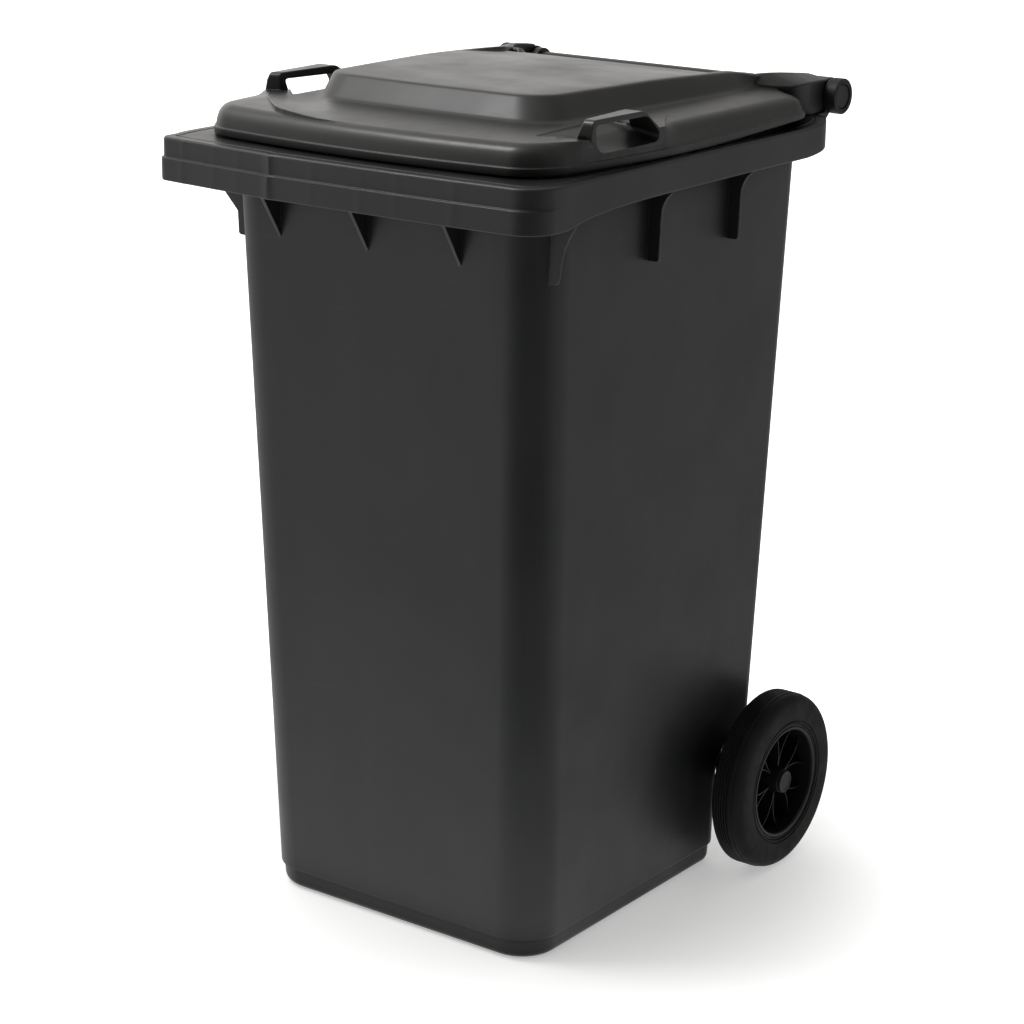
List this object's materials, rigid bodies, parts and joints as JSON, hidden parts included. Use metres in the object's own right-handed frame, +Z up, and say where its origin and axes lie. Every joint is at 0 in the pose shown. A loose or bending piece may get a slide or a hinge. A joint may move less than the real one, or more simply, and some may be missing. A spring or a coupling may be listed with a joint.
{
  "type": "wheelie bin",
  "caption": "Tall tapered plastic refuse bin with a comb rim, a hinged lid with loop handles, and rubber-tyred wheels on a steel axle.",
  "frame": {"origin": "on the ground, under the middle of the bin's overall box", "axes": "+Z up, -Y towards the comb bar at the front, +Y towards the hinge and wheels, +X to the right seen from the front"},
  "size_m": [0.604, 0.728, 1.07],
  "materials": {
    "body_plastic": "fine-grained moulded polyethylene, anthracite grey, low sheen",
    "lid_plastic": "smooth moulded polyethylene, anthracite grey, satin",
    "black_plastic": "moulded black plastic, satin",
    "cap_plastic": "moulded dark grey plastic, matte",
    "tyre_rubber": "solid black rubber, matte",
    "zinc_steel": "zinc-plated steel",
    "spring_steel": "drawn spring wire"
  },
  "bodies": {
    "body": {"bin_body": "body_plastic", "hinge_pin_left": "black_plastic", "hinge_pin_right": "black_plastic", "hinge_plug_left": "body_plastic", "hinge_plug_right": "body_plastic", "axle": "zinc_steel", "axle_washer_left": "zinc_steel", "axle_washer_right": "zinc_steel"},
    "lid": {"lid": "lid_plastic"},
    "wheel_left": {"wheel_rim_left": "black_plastic", "tyre_left": "tyre_rubber", "hub_cap_left": "cap_plastic", "latch_cap_left": "black_plastic", "latch_spring_left": "spring_steel"},
    "wheel_right": {"wheel_rim_right": "black_plastic", "tyre_right": "tyre_rubber", "hub_cap_right": "cap_plastic", "latch_cap_right": "black_plastic", "latch_spring_right": "spring_steel"},
    "latch_left": {"wheel_latch_left": "cap_plastic"},
    "latch_right": {"wheel_latch_right": "cap_plastic"}
  },
  "joints": [
    {"name": "lid_hinge", "type": "hinge", "parent": "body", "child": "lid", "pos_m": [0, 0.341, 1.025], "axis": [-1, 0, 0], "range_deg": [0, 270]},
    {"name": "wheel_left_spin", "type": "hinge", "parent": "body", "child": "wheel_left", "pos_m": [-0.279, 0.221, 0.12], "axis": [1, 0, 0], "continuous": true},
    {"name": "wheel_right_spin", "type": "hinge", "parent": "body", "child": "wheel_right", "pos_m": [0.279, 0.221, 0.12], "axis": [1, 0, 0], "continuous": true},
    {"name": "latch_left_lift", "type": "slide", "parent": "wheel_left", "child": "latch_left", "axis": [0, 0, 1], "range_m": [0, 0.003], "stiffness_N_per_m": 900, "deforming": ["latch_spring_left"]},
    {"name": "latch_right_lift", "type": "slide", "parent": "wheel_right", "child": "latch_right", "axis": [0, 0, 1], "range_m": [0, 0.003], "stiffness_N_per_m": 900, "deforming": ["latch_spring_right"]}
  ]
}
